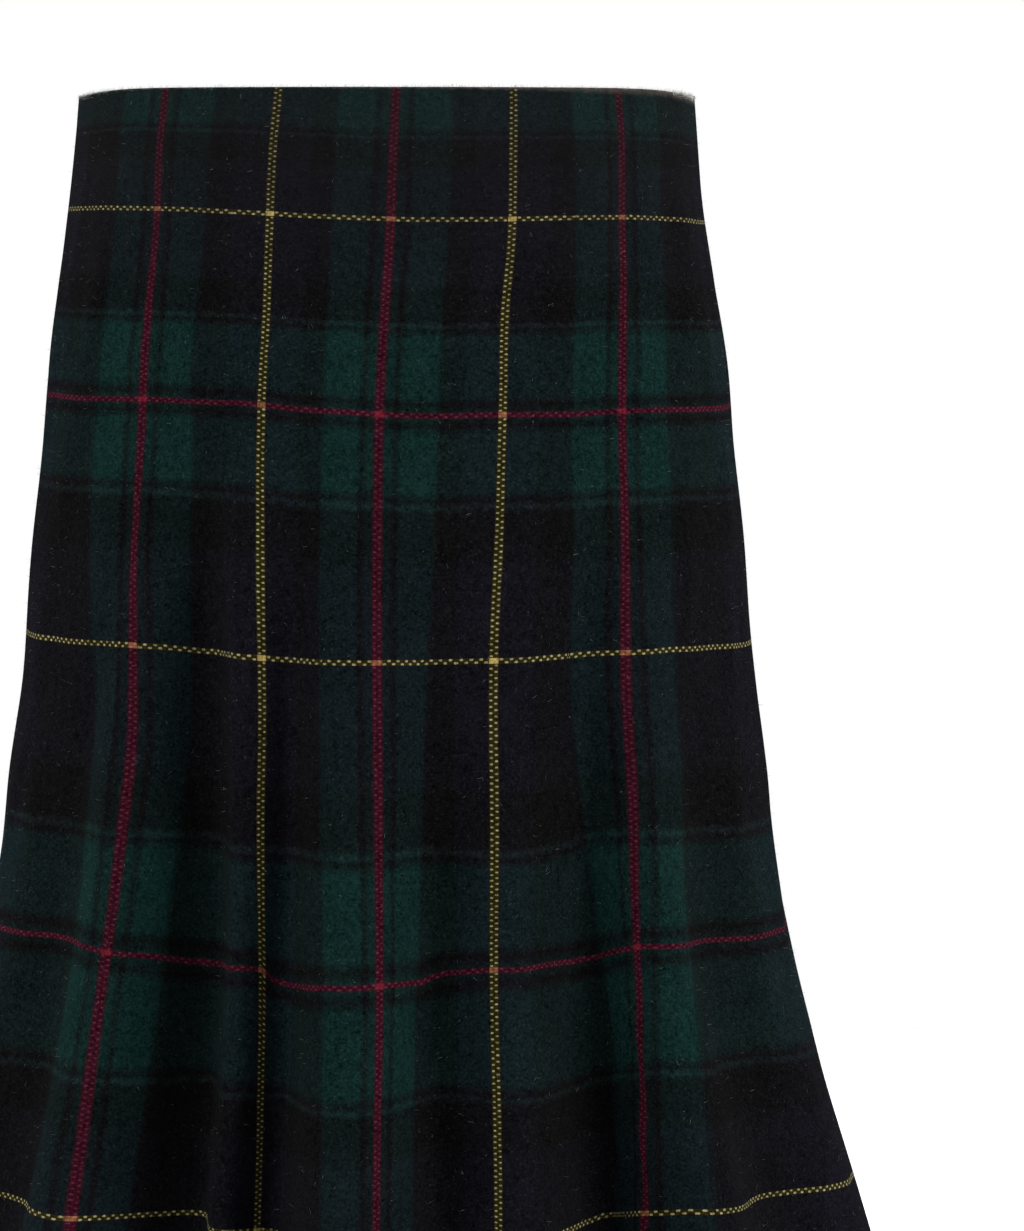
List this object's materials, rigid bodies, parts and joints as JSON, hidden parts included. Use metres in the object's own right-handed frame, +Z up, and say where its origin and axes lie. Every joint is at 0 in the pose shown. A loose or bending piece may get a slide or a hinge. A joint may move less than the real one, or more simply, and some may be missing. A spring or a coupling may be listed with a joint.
{
  "type": "tartan flared skirt",
  "caption": "Knee-length flared skirt in dark tartan wool, fitted at the waist and hips and falling in soft folds to a flared hem, with a concealed zip at the back.",
  "frame": {"origin": "middle of the waist edge, where the wearer holds the skirt up", "axes": "+Z up, -Y out of the front, +X towards the wearer's left"},
  "size_m": [0.4828, 0.4212, 0.6004],
  "materials": {
    "tartan_wool": "matte brushed wool, woven in a dark green, navy and black tartan with red and yellow lines",
    "zip_tape": "matte woven polyester tape",
    "zip_metal": "satin black enamel"
  },
  "bodies": {
    "skirt": {"front_panel": "tartan_wool", "back_left_panel": "tartan_wool", "back_right_panel": "tartan_wool", "zip_tape_left": "zip_tape", "zip_tape_right": "zip_tape", "zip_slider": "zip_metal"},
    "pull_tab": {"zip_pull_tab": "zip_metal"}
  },
  "joints": [
    {"name": "pull_tab_hinge", "type": "hinge", "parent": "skirt", "child": "pull_tab", "pos_m": [0, 0.09847, -0.01033], "axis": [1, 0, 0], "range_deg": [0, 165]}
  ]
}
